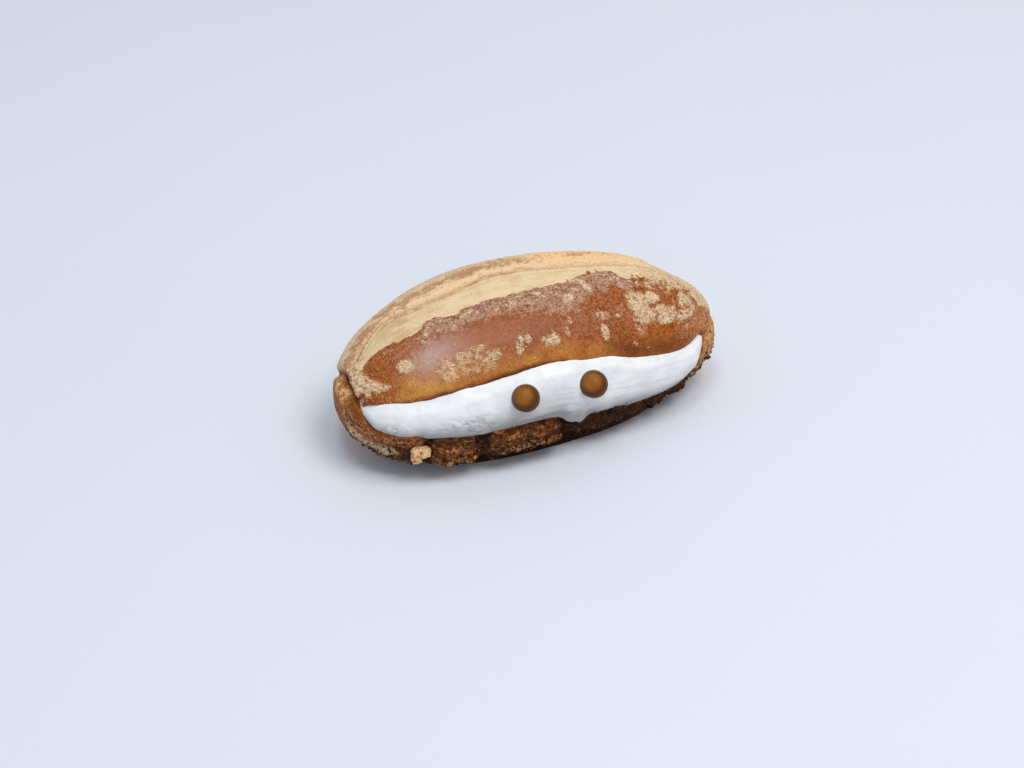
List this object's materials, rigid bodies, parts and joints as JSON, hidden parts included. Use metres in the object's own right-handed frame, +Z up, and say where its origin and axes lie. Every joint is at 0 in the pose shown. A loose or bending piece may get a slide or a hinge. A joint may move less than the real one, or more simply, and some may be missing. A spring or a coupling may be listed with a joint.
{
  "type": "cream bun",
  "caption": "Long sweet roll split along one side and filled with whipped cream, with chocolate balls set in the cream.",
  "frame": {"origin": "centre of the whole part seen from above, on the surface that it stands on", "axes": "+X along the roll, -Y out of the open, cream-filled side, +Z up"},
  "size_m": [0.1463, 0.0705, 0.0558],
  "materials": {
    "crust": "baked brown crust, glossy on the front of the lid and floury along the top",
    "cream": "soft white whipped cream, smoothed with a knife",
    "chocolate": "satin milk chocolate"
  },
  "bodies": {
    "root": {"bun": "crust", "cream": "cream", "chocolate_ball_left": "chocolate", "chocolate_ball_right": "chocolate"}
  },
  "joints": []
}
